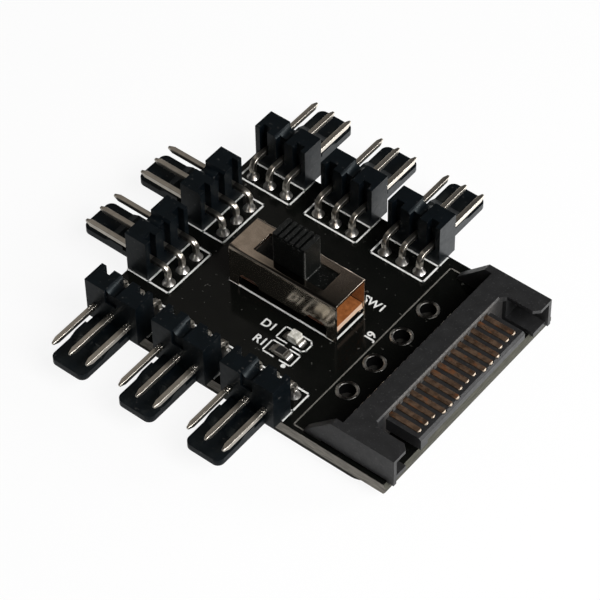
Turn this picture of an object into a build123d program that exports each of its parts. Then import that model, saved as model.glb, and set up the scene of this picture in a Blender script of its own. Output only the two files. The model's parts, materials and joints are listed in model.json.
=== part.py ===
"""PC fan hub: a small circuit board with eight fan headers, a power inlet and a slide switch.

Units are millimetres. The origin is the middle of the adhesive face under the foam pad.
+X points out of the power inlet, +Z points up out of the board.
"""
import math
import os

from build123d import *

# Circuit board and foam pad
BOARD_LENGTH = 43.6
BOARD_WIDTH = 31.6
BOARD_THICKNESS = 1.6
SCORE_DEPTH = 0.5
SCORE_RUN = 0.3
PAD_THICKNESS = 1.5
PAD_SIDE_MARGIN = 0.5
PAD_REAR_MARGIN = 0.6
PAD_FRONT_MARGIN = 2.4
PAD_CORNER_RADIUS = 3.0

# Fan headers: three pins each, in rows along three board edges
PIN_PITCH = 2.54
PINS_PER_HEADER = 3
HEADER_PITCH = 10.0
HEADERS_PER_LONG_ROW = 3
HEADERS_ON_REAR = 2
FIRST_COLUMN_FROM_REAR = 5.0
LONG_ROW_PIN_INSET = 3.99
REAR_ROW_PIN_INSET = 5.4
HOUSING_END_WALL = 1.27
HOUSING_DEPTH = 3.1
HOUSING_HEIGHT = 6.2
HOUSING_BACK_FROM_PINS = 2.13
BACK_GROOVE_WIDTH = 1.2
BACK_GROOVE_DEPTH = 0.9
TOP_GROOVE_WIDTH = 1.7
TOP_GROOVE_DEPTH = 0.6
FRONT_CHANNEL_DEPTH = 0.3
FRONT_CHANNEL_DROP = 2.0
TONGUE_WIDTH = 5.08
TONGUE_REACH = 8.07
TONGUE_THICKNESS = 0.9
TONGUE_CORNER_RADIUS = 0.9
RAMP_HEIGHT = 0.45
RAMP_FLAT_LENGTH = 1.75
RAMP_SLOPE_LENGTH = 1.0
RAMP_FROM_HOUSING = 1.8
PIN_SIZE = 0.64
PIN_HEIGHT = 2.45
PIN_REACH = 7.34
PIN_TIP_LENGTH = 0.8
PIN_TIP_SIZE = 0.3
PIN_BEND_RADIUS = 0.55
PIN_TAIL = 0.9
PIN_FIT = 0.02

# Soldered pins
FILLET_RADIUS = 0.9
FILLET_HEIGHT = 1.0
UPPER_FILLET_SIDES = 8
UNDER_FILLET_HEIGHT = 0.6
UNDER_FILLET_SIDES = 6
SOLDER_WALL = 0.1
PAD_SLOT_CLEARANCE = 0.2

# Four spare holes behind the power inlet
SPARE_HOLE_COUNT = 4
SPARE_HOLE_PITCH = 5.08
SPARE_HOLE_FROM_FRONT = 11.66
SPARE_HOLE_RADIUS = 1.05

# Power inlet: a fifteen-contact plug with an L-shaped tongue
INLET_WIDTH = 29.8
INLET_HEIGHT = 4.3
INLET_DEPTH = 7.8
INLET_OVERHANG = 0.7
INLET_OFFSET = -0.35
INLET_POCKET_DEPTH = 4.85
INLET_POCKET_WIDTH = 24.2
POCKET_RIM_CHAMFER = 0.2
POCKET_CORNER = 0.6
POCKET_CORNER_HEIGHT = 0.75
ARM_WALL = 0.5
ARM_TOP = 0.5
ARM_FLOOR = 0.6
ARM_BACK = 0.5
ARM_FLOOR_SETBACK = 0.4
ARM_CHAMFER = 0.7
GUSSET_WALL = 1.0
GUSSET_TOP_REACH = 0.95
GUSSET_FOOT_REACH = 4.85
GUSSET_FOOT_HEIGHT = 0.3
SIDE_RELIEF_HEIGHT = 0.25
SIDE_RELIEF_DEPTH = 0.4
SIDE_FOOT_LENGTH = 0.9
BLADE_COUNT = 15
BLADE_PITCH = 1.27
BLADE_OFFSET = -0.14
BLADE_WIDTH = 0.7
BLADE_THICKNESS = 0.25
BLADE_TIP_SETBACK = 0.76
LONG_BLADE_EXTRA = 0.52
BLADE_GROUP = 3
BLADE_RISE = 0.1
BLADE_TIP_DROP = 0.15
BLADE_TIP_CORNER = 0.2
BLADE_FIT = 0.02
BLADE_NOTCH_HEIGHT = 0.3
BLADE_NOTCH_DEPTH = 0.5
BLADE_TAIL_GAP = 0.2
BLADE_FOOT_LENGTH = 1.3
INLET_TONGUE_TOP = 3.35
INLET_TONGUE_THICKNESS = 1.2
INLET_TONGUE_MARGIN = 0.6
INLET_TONGUE_CHAMFER = 0.3
KEY_WIDTH = 1.3
KEY_DROP = 0.65
BLADE_SOLDER_LENGTH = 0.4
BLADE_SOLDER_HEIGHT = 0.18

# Slide switch: metal can, phenolic base, knob that slides along X
SWITCH_X = -3.12
CAN_LENGTH = 15.7
CAN_WIDTH = 5.75
CAN_HEIGHT = 6.1
CAN_SHEET = 0.35
CAN_BEND_RADIUS = 0.5
CAN_POST = 1.35
CAN_SKIRT_LENGTH = 3.1
CAN_SKIRT_HEIGHT = 2.2
CAN_SKIRT_CORNER = 0.6
CAN_MIDDLE_LIFT = 1.4
CAN_TAB_LENGTH = 1.2
CAN_TAB_REACH = 0.8
WINDOW_LENGTH = 10.26
WINDOW_WIDTH = 3.17
BASE_THICKNESS = 0.8
BASE_HEIGHT = 1.2
BASE_END_INSET = 0.25
BASE_FIT = 0.03
KNOB_LENGTH = 4.75
KNOB_WIDTH = 2.97
KNOB_STANDOUT = 4.6
KNOB_RIBS = 6
KNOB_GROOVE_WIDTH = 0.3
KNOB_GROOVE_DEPTH = 0.35
KNOB_EDGE_CHAMFER = 0.1
SLIDER_LENGTH = 10.2
SLIDER_THICKNESS = 1.2
SLIDER_SIDE_GAP = 0.1
SLIDER_TOP_GAP = 0.06
SLIDER_BOSS_LENGTH = 5.2
SLIDER_BOSS_WIDTH = 2.4
TERMINAL_COUNT = 4
TERMINAL_PITCH = 2.5
TERMINAL_HEAD_LENGTH = 1.7
TERMINAL_HEAD_WIDTH = 1.4
TERMINAL_HEAD_THICKNESS = 0.3
TERMINAL_PIN_WIDTH = 0.6
TERMINAL_PIN_THICKNESS = 0.4
TERMINAL_TAIL = 0.9
SWITCH_SOLDER_GAP = 0.3
WIPER_LENGTH = 4.2
WIPER_WIDTH = 1.3
WIPER_THICKNESS = 0.2
WIPER_BOW = 0.45
WIPER_GAP = 0.03

# Chip LED and its resistor, side by side in front of the switch
CHIP_X = 0.76
LED_Y = -5.37
RESISTOR_Y = -7.87
CHIP_LENGTH = 2.0
CHIP_WIDTH = 1.25
CHIP_CAP_LENGTH = 0.4
RESISTOR_HEIGHT = 0.55
LED_BASE_HEIGHT = 0.35
LED_LENS_HEIGHT = 0.7
LED_LENS_LENGTH = 1.5
LED_LENS_DRAFT = 0.12
CHIP_SOLDER_LENGTH = 0.55

# Levels and edges that follow from the sizes above
BOARD_BOTTOM = PAD_THICKNESS
BOARD_TOP = BOARD_BOTTOM + BOARD_THICKNESS
FRONT_EDGE = BOARD_LENGTH / 2
REAR_EDGE = -BOARD_LENGTH / 2
SIDE_EDGE = BOARD_WIDTH / 2
PIN_STEPS = [(i - (PINS_PER_HEADER - 1) / 2) * PIN_PITCH for i in range(PINS_PER_HEADER)]
HOUSING_WIDTH = (PINS_PER_HEADER - 1) * PIN_PITCH + 2 * HOUSING_END_WALL
HOUSING_FRONT = HOUSING_BACK_FROM_PINS + HOUSING_DEPTH
INLET_FRONT = FRONT_EDGE + INLET_OVERHANG
INLET_REAR = INLET_FRONT - INLET_DEPTH
INLET_POCKET_BACK = INLET_FRONT - INLET_POCKET_DEPTH
INLET_LEFT = INLET_OFFSET - INLET_WIDTH / 2
INLET_RIGHT = INLET_OFFSET + INLET_WIDTH / 2
ARM_WIDTH = (INLET_WIDTH - INLET_POCKET_WIDTH) / 2
BLADE_ROWS = [
    INLET_OFFSET + BLADE_OFFSET + (i - (BLADE_COUNT - 1) / 2) * BLADE_PITCH for i in range(BLADE_COUNT)
]
TONGUE_TOP = BOARD_TOP + INLET_TONGUE_TOP
BLADE_TOP = TONGUE_TOP + BLADE_RISE
BLADE_BACK = INLET_REAR - BLADE_TAIL_GAP
CAN_TOP = BOARD_TOP + CAN_HEIGHT
BASE_BOTTOM = BOARD_TOP + BASE_HEIGHT
BASE_TOP = BASE_BOTTOM + BASE_THICKNESS
SLIDER_TOP = CAN_TOP - CAN_SHEET - SLIDER_TOP_GAP
SLIDER_BOTTOM = SLIDER_TOP - SLIDER_THICKNESS
TERMINAL_XS = [SWITCH_X + (i - (TERMINAL_COUNT - 1) / 2) * TERMINAL_PITCH for i in range(TERMINAL_COUNT)]
TERMINAL_HEAD_TOP = BASE_TOP + TERMINAL_HEAD_THICKNESS
WIPER_BOTTOM = TERMINAL_HEAD_TOP + WIPER_GAP
WIPER_TOP = WIPER_BOTTOM + WIPER_BOW + WIPER_THICKNESS


def block(x, y, z):
    """Box between two limits along each axis."""
    size = [high - low for low, high in (x, y, z)]
    middle = [(high + low) / 2 for low, high in (x, y, z)]
    return Pos(*middle) * Box(*size)


def profile_xz(points, y_low, y_high):
    """Closed outline in the XZ plane, extruded from y_low to y_high."""
    outline = make_face(Polyline(*[(x, 0, z) for x, z in points], close=True))
    return Pos(0, y_low, 0) * extrude(outline, y_high - y_low, dir=(0, 1, 0))


def profile_yz(points, x_low, x_high):
    """Closed outline in the YZ plane, extruded from x_low to x_high."""
    outline = make_face(Polyline(*[(0, y, z) for y, z in points], close=True))
    return Pos(x_low, 0, 0) * extrude(outline, x_high - x_low, dir=(1, 0, 0))


def header_places():
    """Pin-row centre and turn of every fan header, going round the board."""
    columns = [REAR_EDGE + FIRST_COLUMN_FROM_REAR + i * HEADER_PITCH for i in range(HEADERS_PER_LONG_ROW)]
    rear_rows = [(i - (HEADERS_ON_REAR - 1) / 2) * HEADER_PITCH for i in range(HEADERS_ON_REAR)]
    row_y = SIDE_EDGE - LONG_ROW_PIN_INSET
    row_x = REAR_EDGE + REAR_ROW_PIN_INSET
    places = [(x, row_y, 0) for x in columns]
    places += [(row_x, y, 90) for y in rear_rows]
    places += [(x, -row_y, 180) for x in columns]
    return [Location((x, y, BOARD_TOP), (0, 0, turn)) for x, y, turn in places]


def fan_housing():
    """Moulded header body with its locking tongue, seated at z = 0, mating side towards +Y."""
    half = HOUSING_WIDTH / 2
    body = block((-half, half), (HOUSING_BACK_FROM_PINS, HOUSING_FRONT), (0, HOUSING_HEIGHT))
    tongue_end = HOUSING_FRONT + TONGUE_REACH
    crest = HOUSING_FRONT + RAMP_FROM_HOUSING
    side_view = [
        (HOUSING_FRONT, 0),
        (tongue_end, 0),
        (tongue_end, TONGUE_THICKNESS),
        (crest + RAMP_FLAT_LENGTH + RAMP_SLOPE_LENGTH, TONGUE_THICKNESS),
        (crest + RAMP_FLAT_LENGTH, TONGUE_THICKNESS + RAMP_HEIGHT),
        (crest, TONGUE_THICKNESS + RAMP_HEIGHT),
        (crest, TONGUE_THICKNESS),
        (HOUSING_FRONT, TONGUE_THICKNESS),
    ]
    tongue = profile_yz(side_view, -TONGUE_WIDTH / 2, TONGUE_WIDTH / 2)
    corners = tongue.edges().filter_by(Axis.Z).group_by(Axis.Y)[-1]
    tongue = fillet(corners, TONGUE_CORNER_RADIUS)
    housing = body + tongue
    groove_back = (HOUSING_BACK_FROM_PINS, HOUSING_BACK_FROM_PINS + BACK_GROOVE_DEPTH)
    hole = PIN_SIZE / 2 + PIN_FIT
    for u in PIN_STEPS:
        housing -= block((u - BACK_GROOVE_WIDTH / 2, u + BACK_GROOVE_WIDTH / 2), groove_back,
                         (PIN_HEIGHT - hole, HOUSING_HEIGHT))
        housing -= block((u - hole, u + hole), (HOUSING_BACK_FROM_PINS, HOUSING_FRONT),
                         (PIN_HEIGHT - hole, PIN_HEIGHT + hole))
    housing -= top_groove()
    housing -= block((-TOP_GROOVE_WIDTH / 2, TOP_GROOVE_WIDTH / 2),
                     (HOUSING_FRONT - FRONT_CHANNEL_DEPTH, HOUSING_FRONT),
                     (HOUSING_HEIGHT - FRONT_CHANNEL_DROP, HOUSING_HEIGHT))
    return housing


def top_groove():
    """Round-bottomed groove across the top of a header body."""
    half = TOP_GROOVE_WIDTH / 2
    y_low = HOUSING_BACK_FROM_PINS
    floor = (0, y_low, HOUSING_HEIGHT - TOP_GROOVE_DEPTH)
    left = (-half, y_low, HOUSING_HEIGHT)
    right = (half, y_low, HOUSING_HEIGHT)
    outline = make_face([ThreePointArc(left, floor, right), Line(right, left)])
    return extrude(outline, HOUSING_DEPTH, dir=(0, 1, 0))


def fan_pin():
    """Square pin: tail through the board, round bend, straight run out along +Y to a tapered tip."""
    half = PIN_SIZE / 2
    inner = PIN_BEND_RADIUS
    outer = PIN_BEND_RADIUS + PIN_SIZE
    bend_y = half + inner
    bend_z = PIN_HEIGHT - half - inner
    foot = -BOARD_THICKNESS - PIN_TAIL
    pin_end = HOUSING_FRONT + PIN_REACH
    top = PIN_HEIGHT + half
    under = PIN_HEIGHT - half
    slant = 0.5 ** 0.5
    side_view = [
        Line((0, -half, foot), (0, half, foot)),
        Line((0, half, foot), (0, half, bend_z)),
        ThreePointArc((0, half, bend_z), (0, bend_y - inner * slant, bend_z + inner * slant), (0, bend_y, under)),
        Line((0, bend_y, under), (0, pin_end, under)),
        Line((0, pin_end, under), (0, pin_end, top)),
        Line((0, pin_end, top), (0, bend_y, top)),
        ThreePointArc((0, bend_y, top), (0, bend_y - outer * slant, bend_z + outer * slant), (0, -half, bend_z)),
        Line((0, -half, bend_z), (0, -half, foot)),
    ]
    wire = extrude(make_face(side_view), PIN_SIZE, dir=(1, 0, 0))
    wire = Pos(-half, 0, 0) * wire
    end_face = wire.faces().sort_by(Axis.Y)[-1]
    return chamfer(end_face.edges(), (PIN_SIZE - PIN_TIP_SIZE) / 2, PIN_TIP_LENGTH, reference=end_face)


def solder_cone(pin_x, pin_y, height, sides):
    """Faceted solder fillet round a pin, standing on z = 0."""
    neck = max(pin_x, pin_y) / 2 * 2 ** 0.5 + SOLDER_WALL
    slope = math.degrees(math.atan((FILLET_RADIUS - neck) / height))
    cone = extrude(RegularPolygon(FILLET_RADIUS, sides, major_radius=False), height, taper=slope)
    return cone - block((-pin_x / 2, pin_x / 2), (-pin_y / 2, pin_y / 2), (0, height))


def solder_joint(pin_x, pin_y, height):
    """Fillets above and below a board whose top is z = 0."""
    upper = solder_cone(pin_x, pin_y, height, UPPER_FILLET_SIDES)
    lower = solder_cone(pin_x, pin_y, UNDER_FILLET_HEIGHT, UNDER_FILLET_SIDES)
    return [upper, Pos(0, 0, -BOARD_THICKNESS) * Rot(180, 0, 0) * lower]


def header_pin_points():
    """Board position of every header pin."""
    return [place * Location((u, 0, 0)) for place in header_places() for u in PIN_STEPS]


def spare_hole_points():
    """Centres of the spare holes."""
    x = FRONT_EDGE - SPARE_HOLE_FROM_FRONT
    return [(x, (i - (SPARE_HOLE_COUNT - 1) / 2) * SPARE_HOLE_PITCH) for i in range(SPARE_HOLE_COUNT)]


def circuit_board():
    """Bare board with V-scored ends and all its holes."""
    top_length = FRONT_EDGE - SCORE_RUN
    side_view = [
        (-top_length, BOARD_BOTTOM),
        (top_length, BOARD_BOTTOM),
        (FRONT_EDGE, BOARD_BOTTOM + SCORE_DEPTH),
        (FRONT_EDGE, BOARD_TOP - SCORE_DEPTH),
        (top_length, BOARD_TOP),
        (-top_length, BOARD_TOP),
        (REAR_EDGE, BOARD_TOP - SCORE_DEPTH),
        (REAR_EDGE, BOARD_BOTTOM + SCORE_DEPTH),
    ]
    board = profile_xz(side_view, -SIDE_EDGE, SIDE_EDGE)
    half = PIN_SIZE / 2
    pin_hole = block((-half, half), (-half, half), (-BOARD_THICKNESS, 0))
    holes = [point * pin_hole for point in header_pin_points()]
    holes += [terminal_slot(x, BOARD_BOTTOM, BOARD_TOP) for x in TERMINAL_XS]
    holes += [
        Pos(x, y, (BOARD_BOTTOM + BOARD_TOP) / 2) * Cylinder(SPARE_HOLE_RADIUS, BOARD_THICKNESS)
        for x, y in spare_hole_points()
    ]
    return board - holes


def terminal_slot(x, z_low, z_high):
    """Cross-section of one switch terminal's pin between two levels."""
    return block((x - TERMINAL_PIN_WIDTH / 2, x + TERMINAL_PIN_WIDTH / 2),
                 (-TERMINAL_PIN_THICKNESS / 2, TERMINAL_PIN_THICKNESS / 2), (z_low, z_high))


def foam_pad():
    """Adhesive foam under the board, with a slot round each row of soldered tails."""
    x_low = REAR_EDGE + PAD_REAR_MARGIN
    x_high = FRONT_EDGE - PAD_FRONT_MARGIN
    y_high = SIDE_EDGE - PAD_SIDE_MARGIN
    pad = block((x_low, x_high), (-y_high, y_high), (0, PAD_THICKNESS))
    pad = fillet(pad.edges().filter_by(Axis.Z), PAD_CORNER_RADIUS)
    reach = FILLET_RADIUS + PAD_SLOT_CLEARANCE
    half_row = PIN_STEPS[-1] + reach
    depth = max(PIN_TAIL, UNDER_FILLET_HEIGHT, TERMINAL_TAIL) + PAD_SLOT_CLEARANCE
    slot = block((-half_row, half_row), (-reach, reach), (-BOARD_THICKNESS - depth, -BOARD_THICKNESS))
    pad -= [place * slot for place in header_places()]
    pad -= block((TERMINAL_XS[0] - reach, TERMINAL_XS[-1] + reach), (-reach, reach),
                 (PAD_THICKNESS - depth, PAD_THICKNESS))
    return pad


def inlet_arm():
    """Right end of the inlet: a channel open to the front and to the tongue, in front of the body."""
    inner = INLET_RIGHT - ARM_WIDTH
    arm = block((INLET_POCKET_BACK, INLET_FRONT), (inner, INLET_RIGHT), (BOARD_TOP, BOARD_TOP + INLET_HEIGHT))
    arm -= block((INLET_POCKET_BACK + ARM_BACK, INLET_FRONT), (inner, INLET_RIGHT - ARM_WALL),
                 (BOARD_TOP + ARM_FLOOR, BOARD_TOP + INLET_HEIGHT - ARM_TOP))
    arm -= block((INLET_FRONT - ARM_FLOOR_SETBACK, INLET_FRONT), (inner, INLET_RIGHT - ARM_WALL),
                 (BOARD_TOP, BOARD_TOP + ARM_FLOOR))
    top_edges = arm.edges().filter_by(Axis.Z).group_by(Axis.X)[-1].group_by(Axis.Y)[0]
    return chamfer(top_edges.sort_by(Axis.Z)[-1:], ARM_CHAMFER)


def pocket_corner():
    """Slanted fill in the right rear corner of the pocket, level with the top of the arm."""
    inner = INLET_RIGHT - ARM_WIDTH
    plan = Polyline(
        (INLET_POCKET_BACK, inner),
        (INLET_POCKET_BACK + POCKET_CORNER, inner),
        (INLET_POCKET_BACK, inner - POCKET_CORNER),
        close=True,
    )
    bottom = BOARD_TOP + INLET_HEIGHT - POCKET_CORNER_HEIGHT
    return Pos(0, 0, bottom) * extrude(make_face(plan), POCKET_CORNER_HEIGHT, dir=(0, 0, 1))


def pocket_rim():
    """Wedge cut off the top edge of the pocket's rear wall, between the two corner fills."""
    top = BOARD_TOP + INLET_HEIGHT
    reach = INLET_POCKET_WIDTH / 2 - POCKET_CORNER
    side_view = [
        (INLET_POCKET_BACK - POCKET_RIM_CHAMFER, top),
        (INLET_POCKET_BACK, top),
        (INLET_POCKET_BACK, top - POCKET_RIM_CHAMFER),
    ]
    return profile_xz(side_view, INLET_OFFSET - reach, INLET_OFFSET + reach)


def inlet_gusset():
    """Sloping end wall behind the right arm."""
    top = BOARD_TOP + INLET_HEIGHT
    side_view = [
        (INLET_REAR - GUSSET_FOOT_REACH, BOARD_TOP),
        (INLET_POCKET_BACK, BOARD_TOP),
        (INLET_POCKET_BACK, top),
        (INLET_REAR - GUSSET_TOP_REACH, top),
        (INLET_REAR - GUSSET_FOOT_REACH, BOARD_TOP + GUSSET_FOOT_HEIGHT),
    ]
    return profile_xz(side_view, INLET_RIGHT - GUSSET_WALL, INLET_RIGHT)


def side_relief():
    """Step under the outer face of the right end, which leaves a foot at its front."""
    return block((INLET_REAR - GUSSET_FOOT_REACH / 2, INLET_FRONT - SIDE_FOOT_LENGTH),
                 (INLET_RIGHT - SIDE_RELIEF_DEPTH, INLET_RIGHT), (BOARD_TOP, BOARD_TOP + SIDE_RELIEF_HEIGHT))


def inlet_tongue():
    """Tongue that carries the blades, with the key leg at its left end."""
    margin = BLADE_WIDTH / 2 + INLET_TONGUE_MARGIN
    left = BLADE_ROWS[0] - margin
    right = BLADE_ROWS[-1] + margin
    under = TONGUE_TOP - INLET_TONGUE_THICKNESS
    end_view = [
        (left, TONGUE_TOP),
        (right, TONGUE_TOP),
        (right, under),
        (left + KEY_WIDTH, under),
        (left + KEY_WIDTH, under - KEY_DROP),
        (left, under - KEY_DROP),
    ]
    tongue = profile_yz(end_view, INLET_POCKET_BACK, INLET_FRONT)
    lead_in = tongue.faces().sort_by(Axis.X)[-1].edges().filter_by(Axis.Y).group_by(Axis.Z)[-1]
    return chamfer(lead_in, INLET_TONGUE_CHAMFER)


def inlet_housing():
    """Moulded power inlet body: rear wall notched over each blade, two arms, two gussets and the tongue."""
    middle = Plane.XZ.offset(-INLET_OFFSET)
    top = BOARD_TOP + INLET_HEIGHT
    right_end = inlet_arm() + pocket_corner() + inlet_gusset() - side_relief()
    body = block((INLET_REAR, INLET_POCKET_BACK), (INLET_LEFT + GUSSET_WALL, INLET_RIGHT - GUSSET_WALL),
                 (BOARD_TOP, top))
    housing = body - pocket_rim() + right_end + mirror(right_end, about=middle) + inlet_tongue()
    for i, y in enumerate(BLADE_ROWS):
        half = BLADE_WIDTH / 2 + BLADE_FIT
        end = blade_end(i) + BLADE_FIT
        housing -= block((INLET_REAR, end), (y - half, y + half), (BLADE_TOP - BLADE_THICKNESS, BLADE_TOP))
        housing -= block((INLET_POCKET_BACK - BLADE_NOTCH_DEPTH, INLET_POCKET_BACK), (y - half, y + half),
                         (BLADE_TOP, BLADE_TOP + BLADE_NOTCH_HEIGHT))
    return housing


def blade_end(index):
    """Forward end of one blade: every second group of three reaches further out."""
    longer = (index // BLADE_GROUP) % 2 == 1
    return INLET_FRONT - BLADE_TIP_SETBACK + (LONG_BLADE_EXTRA if longer else 0)


def inlet_blades():
    """Flat contacts: along the tongue, through the rear wall, down to a foot on the board."""
    blades = []
    under = BLADE_TOP - BLADE_THICKNESS
    heel = BLADE_BACK - BLADE_THICKNESS
    foot_top = BOARD_TOP + BLADE_THICKNESS
    for i, y in enumerate(BLADE_ROWS):
        end = blade_end(i)
        side_view = [
            (heel - BLADE_FOOT_LENGTH, BOARD_TOP),
            (BLADE_BACK, BOARD_TOP),
            (BLADE_BACK, under),
            (end, under),
            (end, BLADE_TOP - BLADE_TIP_DROP),
            (end - BLADE_TIP_DROP, BLADE_TOP),
            (heel, BLADE_TOP),
            (heel, foot_top),
            (heel - BLADE_FOOT_LENGTH, foot_top),
        ]
        blade = profile_xz(side_view, y - BLADE_WIDTH / 2, y + BLADE_WIDTH / 2)
        tip_edges = blade.edges().filter_by(Axis.Z).group_by(Axis.X)[-1]
        blades.append(chamfer(tip_edges, BLADE_TIP_CORNER))
    return Compound(children=blades)


def inlet_solder():
    """Small wedge of solder at the end of each blade's foot."""
    toe = BLADE_BACK - BLADE_THICKNESS - BLADE_FOOT_LENGTH
    side_view = [
        (toe - BLADE_SOLDER_LENGTH, BOARD_TOP),
        (toe, BOARD_TOP),
        (toe, BOARD_TOP + BLADE_SOLDER_HEIGHT),
    ]
    return Compound(children=[profile_xz(side_view, y - BLADE_WIDTH / 2, y + BLADE_WIDTH / 2) for y in BLADE_ROWS])


def switch_can():
    """Folded sheet cover: top with the knob window, two side walls on end posts, tabs under the base."""
    half_length = CAN_LENGTH / 2
    half_width = CAN_WIDTH / 2
    inside = half_width - CAN_SHEET
    x_span = (SWITCH_X - half_length, SWITCH_X + half_length)
    can = block(x_span, (-half_width, half_width), (BOARD_TOP, CAN_TOP))
    bends = can.edges().filter_by(Axis.X).group_by(Axis.Z)[-1]
    can = fillet(bends, CAN_BEND_RADIUS)
    can -= block(x_span, (-inside, inside), (BOARD_TOP, CAN_TOP - CAN_SHEET))
    can -= block((SWITCH_X - WINDOW_LENGTH / 2, SWITCH_X + WINDOW_LENGTH / 2),
                 (-WINDOW_WIDTH / 2, WINDOW_WIDTH / 2), (CAN_TOP - CAN_SHEET, CAN_TOP))
    for side in (-1, 1):
        x = SWITCH_X + side * (half_length - CAN_POST - CAN_SKIRT_LENGTH / 2)
        skirt = block((x - CAN_SKIRT_LENGTH / 2, x + CAN_SKIRT_LENGTH / 2), (-half_width, half_width),
                      (BOARD_TOP, BOARD_TOP + CAN_SKIRT_HEIGHT))
        corners = skirt.edges().filter_by(Axis.Y).group_by(Axis.Z)[-1]
        can -= chamfer(corners, CAN_SKIRT_CORNER)
    middle_half = half_length - CAN_POST - CAN_SKIRT_LENGTH
    can -= block((SWITCH_X - middle_half, SWITCH_X + middle_half), (-half_width, half_width),
                 (BOARD_TOP, BOARD_TOP + CAN_MIDDLE_LIFT))
    for x in (SWITCH_X - half_length + CAN_POST - CAN_TAB_LENGTH, SWITCH_X + half_length - CAN_POST):
        for y in ((-inside, -inside + CAN_TAB_REACH), (inside - CAN_TAB_REACH, inside)):
            can += block((x, x + CAN_TAB_LENGTH), y, (BASE_BOTTOM - CAN_SHEET, BASE_BOTTOM))
    return can


def switch_base():
    """Phenolic plate that closes the can from below and holds the terminals."""
    half_length = CAN_LENGTH / 2 - BASE_END_INSET
    half_width = CAN_WIDTH / 2 - CAN_SHEET - BASE_FIT
    base = block((SWITCH_X - half_length, SWITCH_X + half_length), (-half_width, half_width),
                 (BASE_BOTTOM, BASE_TOP))
    return base - [terminal_slot(x, BASE_BOTTOM, BASE_TOP) for x in TERMINAL_XS]


def switch_terminals():
    """Contact heads on the base, each with a flat pin down through the board."""
    terminals = []
    for x in TERMINAL_XS:
        head = block((x - TERMINAL_HEAD_LENGTH / 2, x + TERMINAL_HEAD_LENGTH / 2),
                     (-TERMINAL_HEAD_WIDTH / 2, TERMINAL_HEAD_WIDTH / 2), (BASE_TOP, TERMINAL_HEAD_TOP))
        terminals.append(head + terminal_slot(x, BOARD_BOTTOM - TERMINAL_TAIL, BASE_TOP))
    return Compound(children=terminals)


def switch_solder():
    """Solder joints of the switch terminals, low enough to clear the base."""
    joint = solder_joint(TERMINAL_PIN_WIDTH, TERMINAL_PIN_THICKNESS, BASE_HEIGHT - SWITCH_SOLDER_GAP)
    return Compound(children=[Pos(x, 0, BOARD_TOP) * cone for x in TERMINAL_XS for cone in joint])


def switch_knob():
    """Slider: ribbed knob above the can, flange inside it, boss that carries the wiper."""
    half_length = KNOB_LENGTH / 2
    half_width = KNOB_WIDTH / 2
    top = CAN_TOP + KNOB_STANDOUT
    knob = block((SWITCH_X - half_length, SWITCH_X + half_length), (-half_width, half_width), (SLIDER_TOP, top))
    knob = chamfer(knob.edges().filter_by(Axis.Z), KNOB_EDGE_CHAMFER)
    rib_pitch = KNOB_LENGTH / KNOB_RIBS
    for i in range(1, KNOB_RIBS):
        x = SWITCH_X - half_length + i * rib_pitch
        knob -= block((x - KNOB_GROOVE_WIDTH / 2, x + KNOB_GROOVE_WIDTH / 2), (-half_width, half_width),
                      (top - KNOB_GROOVE_DEPTH, top))
    flange_width = CAN_WIDTH / 2 - CAN_SHEET - SLIDER_SIDE_GAP
    flange = block((SWITCH_X - SLIDER_LENGTH / 2, SWITCH_X + SLIDER_LENGTH / 2), (-flange_width, flange_width),
                   (SLIDER_BOTTOM, SLIDER_TOP))
    boss = block((SWITCH_X - SLIDER_BOSS_LENGTH / 2, SWITCH_X + SLIDER_BOSS_LENGTH / 2),
                 (-SLIDER_BOSS_WIDTH / 2, SLIDER_BOSS_WIDTH / 2), (WIPER_TOP, SLIDER_BOTTOM))
    return knob + flange + boss


def switch_wiper():
    """Bowed spring strip under the slider that bridges two neighbouring terminals."""
    half = WIPER_LENGTH / 2
    shoulder = half / 3
    low = WIPER_BOTTOM
    high = WIPER_TOP - WIPER_THICKNESS
    lower_edge = [(-half, low), (-half + shoulder / 2, low), (-shoulder, high), (shoulder, high),
                  (half - shoulder / 2, low), (half, low)]
    upper_edge = [(x, z + WIPER_THICKNESS) for x, z in reversed(lower_edge)]
    side_view = [(SWITCH_X + x, z) for x, z in lower_edge + upper_edge]
    return profile_xz(side_view, -WIPER_WIDTH / 2, WIPER_WIDTH / 2)


def chip_caps(y, height):
    """Metal end caps of a chip part."""
    inner = CHIP_LENGTH / 2 - CHIP_CAP_LENGTH
    caps = []
    for low, high in ((-CHIP_LENGTH / 2, -inner), (inner, CHIP_LENGTH / 2)):
        caps.append(block((CHIP_X + low, CHIP_X + high), (y - CHIP_WIDTH / 2, y + CHIP_WIDTH / 2),
                          (BOARD_TOP, BOARD_TOP + height)))
    return Compound(children=caps)


def chip_body(y, height):
    """Middle of a chip part, between its end caps."""
    inner = CHIP_LENGTH / 2 - CHIP_CAP_LENGTH
    return block((CHIP_X - inner, CHIP_X + inner), (y - CHIP_WIDTH / 2, y + CHIP_WIDTH / 2),
                 (BOARD_TOP, BOARD_TOP + height))


def led_lens():
    """Clear resin block moulded on the LED, with drafted ends."""
    low = BOARD_TOP + LED_BASE_HEIGHT
    high = low + LED_LENS_HEIGHT
    half = LED_LENS_LENGTH / 2
    side_view = [
        (CHIP_X - half, low),
        (CHIP_X + half, low),
        (CHIP_X + half - LED_LENS_DRAFT, high),
        (CHIP_X - half + LED_LENS_DRAFT, high),
    ]
    return profile_xz(side_view, LED_Y - CHIP_WIDTH / 2, LED_Y + CHIP_WIDTH / 2)


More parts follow.
